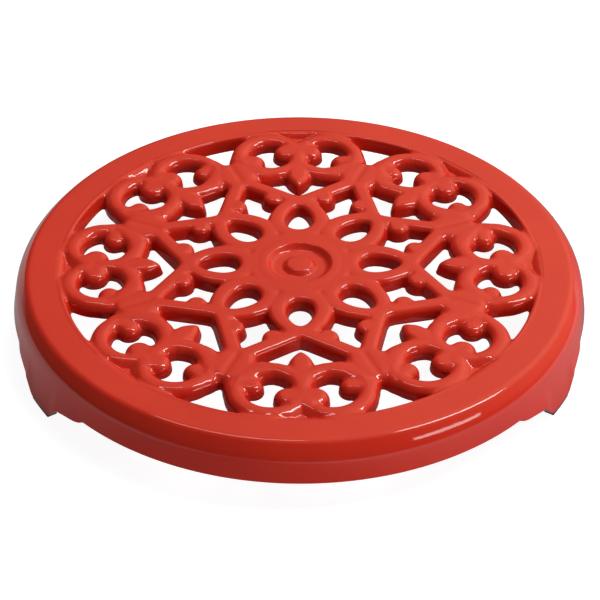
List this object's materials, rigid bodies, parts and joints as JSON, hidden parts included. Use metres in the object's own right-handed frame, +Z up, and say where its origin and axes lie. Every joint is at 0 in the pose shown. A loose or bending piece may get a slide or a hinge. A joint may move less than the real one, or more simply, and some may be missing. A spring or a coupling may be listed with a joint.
{
  "type": "trivet",
  "caption": "Round openwork trivet of enamelled cast iron with scroll-and-lily tracery, a deep skirted rim and three feet on thin pads, to stand a hot pot on.",
  "frame": {"origin": "on the table, under the middle of the hub", "axes": "+Z is up out of the tracery; -Y is the front, towards which one lily points, and +X is to the right"},
  "size_m": [0.2297, 0.2318, 0.027],
  "materials": {
    "red_enamel": "glossy vitreous enamel",
    "pad_rubber": "matte"
  },
  "bodies": {
    "root": {"rim": "red_enamel", "hub": "red_enamel", "tracery_1": "red_enamel", "tracery_2": "red_enamel", "tracery_3": "red_enamel", "tracery_4": "red_enamel", "tracery_5": "red_enamel", "tracery_6": "red_enamel", "tracery_7": "red_enamel", "tracery_8": "red_enamel", "foot_left": "red_enamel", "foot_right": "red_enamel", "foot_back": "red_enamel", "pad_left": "pad_rubber", "pad_right": "pad_rubber", "pad_back": "pad_rubber"}
  },
  "joints": []
}
